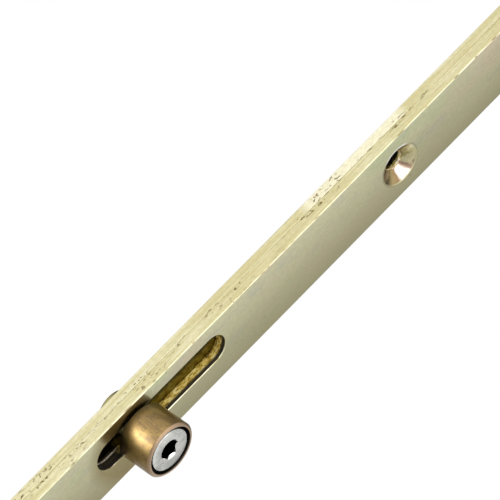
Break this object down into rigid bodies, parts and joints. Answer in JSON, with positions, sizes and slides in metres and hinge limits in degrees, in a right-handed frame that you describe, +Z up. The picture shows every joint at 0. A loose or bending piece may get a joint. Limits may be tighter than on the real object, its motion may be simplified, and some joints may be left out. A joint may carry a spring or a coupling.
{
  "type": "multipoint door lock",
  "caption": "Multipoint door lock: a long faceplate over a sliding rail with eccentric roller cams, and a case with latch, deadbolt, follower and key gear.",
  "frame": {"origin": "middle of the faceplate's front face at the height of the handle spindle", "axes": "+Z up along the faceplate, -Y out of the faceplate's front, +Y into the door, X across the door's thickness"},
  "size_m": [0.02, 0.0722, 1.452],
  "materials": {
    "passivated_steel": "zinc plated and yellow passivated, satin",
    "bright_steel": "turned bright steel",
    "bronze": "turned bronze, satin",
    "zinc_plated_steel": "clear zinc plated pressed sheet",
    "screw_steel": "plated turned steel",
    "nickel_plate": "satin nickel plate",
    "zinc_casting": "die-cast zinc alloy",
    "spring_steel": "drawn spring wire"
  },
  "bodies": {
    "lock_frame": {"faceplate": "passivated_steel", "rail_guides": "passivated_steel", "case_body": "zinc_plated_steel", "case_cover": "zinc_plated_steel", "case_posts": "screw_steel", "bolt_guide_posts": "screw_steel", "cover_screws": "screw_steel", "case_screws": "screw_steel", "thread_blocks": "screw_steel", "gear_axle": "screw_steel", "latch_guide": "zinc_plated_steel", "spring_seat": "screw_steel", "latch_spring": "spring_steel", "follower_spring": "spring_steel"},
    "drive": {"upper_rail": "passivated_steel", "lower_rail": "passivated_steel", "drive_slide": "zinc_plated_steel", "rail_rivets": "zinc_plated_steel"},
    "upper_stud": {"upper_roller_stud": "bright_steel", "upper_stud_foot": "bright_steel"},
    "upper_cam": {"upper_roller": "bronze"},
    "lower_stud": {"lower_roller_stud": "bright_steel", "lower_stud_foot": "bright_steel"},
    "lower_cam": {"lower_roller": "bronze"},
    "key_gear": {"key_gear": "zinc_casting"},
    "deadbolt": {"deadbolt": "nickel_plate", "deadbolt_pin": "screw_steel"},
    "latch": {"latch_bolt": "nickel_plate", "latch_rod": "screw_steel", "latch_hook": "zinc_plated_steel"},
    "follower": {"follower": "zinc_casting"}
  },
  "joints": [
    {"name": "drive_slide", "type": "slide", "parent": "lock_frame", "child": "drive", "axis": [0, 0, 1], "range_m": [0, 0.018]},
    {"name": "key_gear_turn", "type": "hinge", "parent": "lock_frame", "child": "key_gear", "pos_m": [0, 0.034, -0.066], "axis": [1, 0, 0], "range_deg": [-76.5, 0.1]},
    {"name": "deadbolt_throw", "type": "slide", "parent": "lock_frame", "child": "deadbolt", "axis": [0, -1, 0], "range_m": [0, 0.018]},
    {"name": "latch_slide", "type": "slide", "parent": "lock_frame", "child": "latch", "axis": [0, 1, 0], "range_m": [0, 0.0115], "stiffness_N_per_m": 300, "springref_m": -0.02, "deforming": ["latch_spring"]},
    {"name": "follower_turn", "type": "hinge", "parent": "lock_frame", "child": "follower", "pos_m": [0, 0.045, 0], "axis": [1, 0, 0], "range_deg": [-27.8, 0.1], "deforming": ["follower_spring"]},
    {"name": "upper_stud_turn", "type": "hinge", "parent": "drive", "child": "upper_stud", "pos_m": [-0.0013, 0.004, 0.56], "axis": [0, 1, 0], "range_deg": [-90, 90]},
    {"name": "upper_roller_spin", "type": "hinge", "parent": "upper_stud", "child": "upper_cam", "pos_m": [0, -0.005, 0.56], "axis": [0, 1, 0], "continuous": true},
    {"name": "lower_stud_turn", "type": "hinge", "parent": "drive", "child": "lower_stud", "pos_m": [-0.0013, 0.004, -0.52], "axis": [0, 1, 0], "range_deg": [-90, 90]},
    {"name": "lower_roller_spin", "type": "hinge", "parent": "lower_stud", "child": "lower_cam", "pos_m": [0, -0.005, -0.52], "axis": [0, 1, 0], "continuous": true}
  ],
  "couplings": [
    {"joint": "key_gear_turn", "follows": "drive_slide", "rad_per_m": -74.074},
    {"joint": "deadbolt_throw", "follows": "drive_slide", "ratio": 1},
    {"joint": "follower_turn", "follows": "latch_slide", "rad_per_m": -42.076}
  ]
}
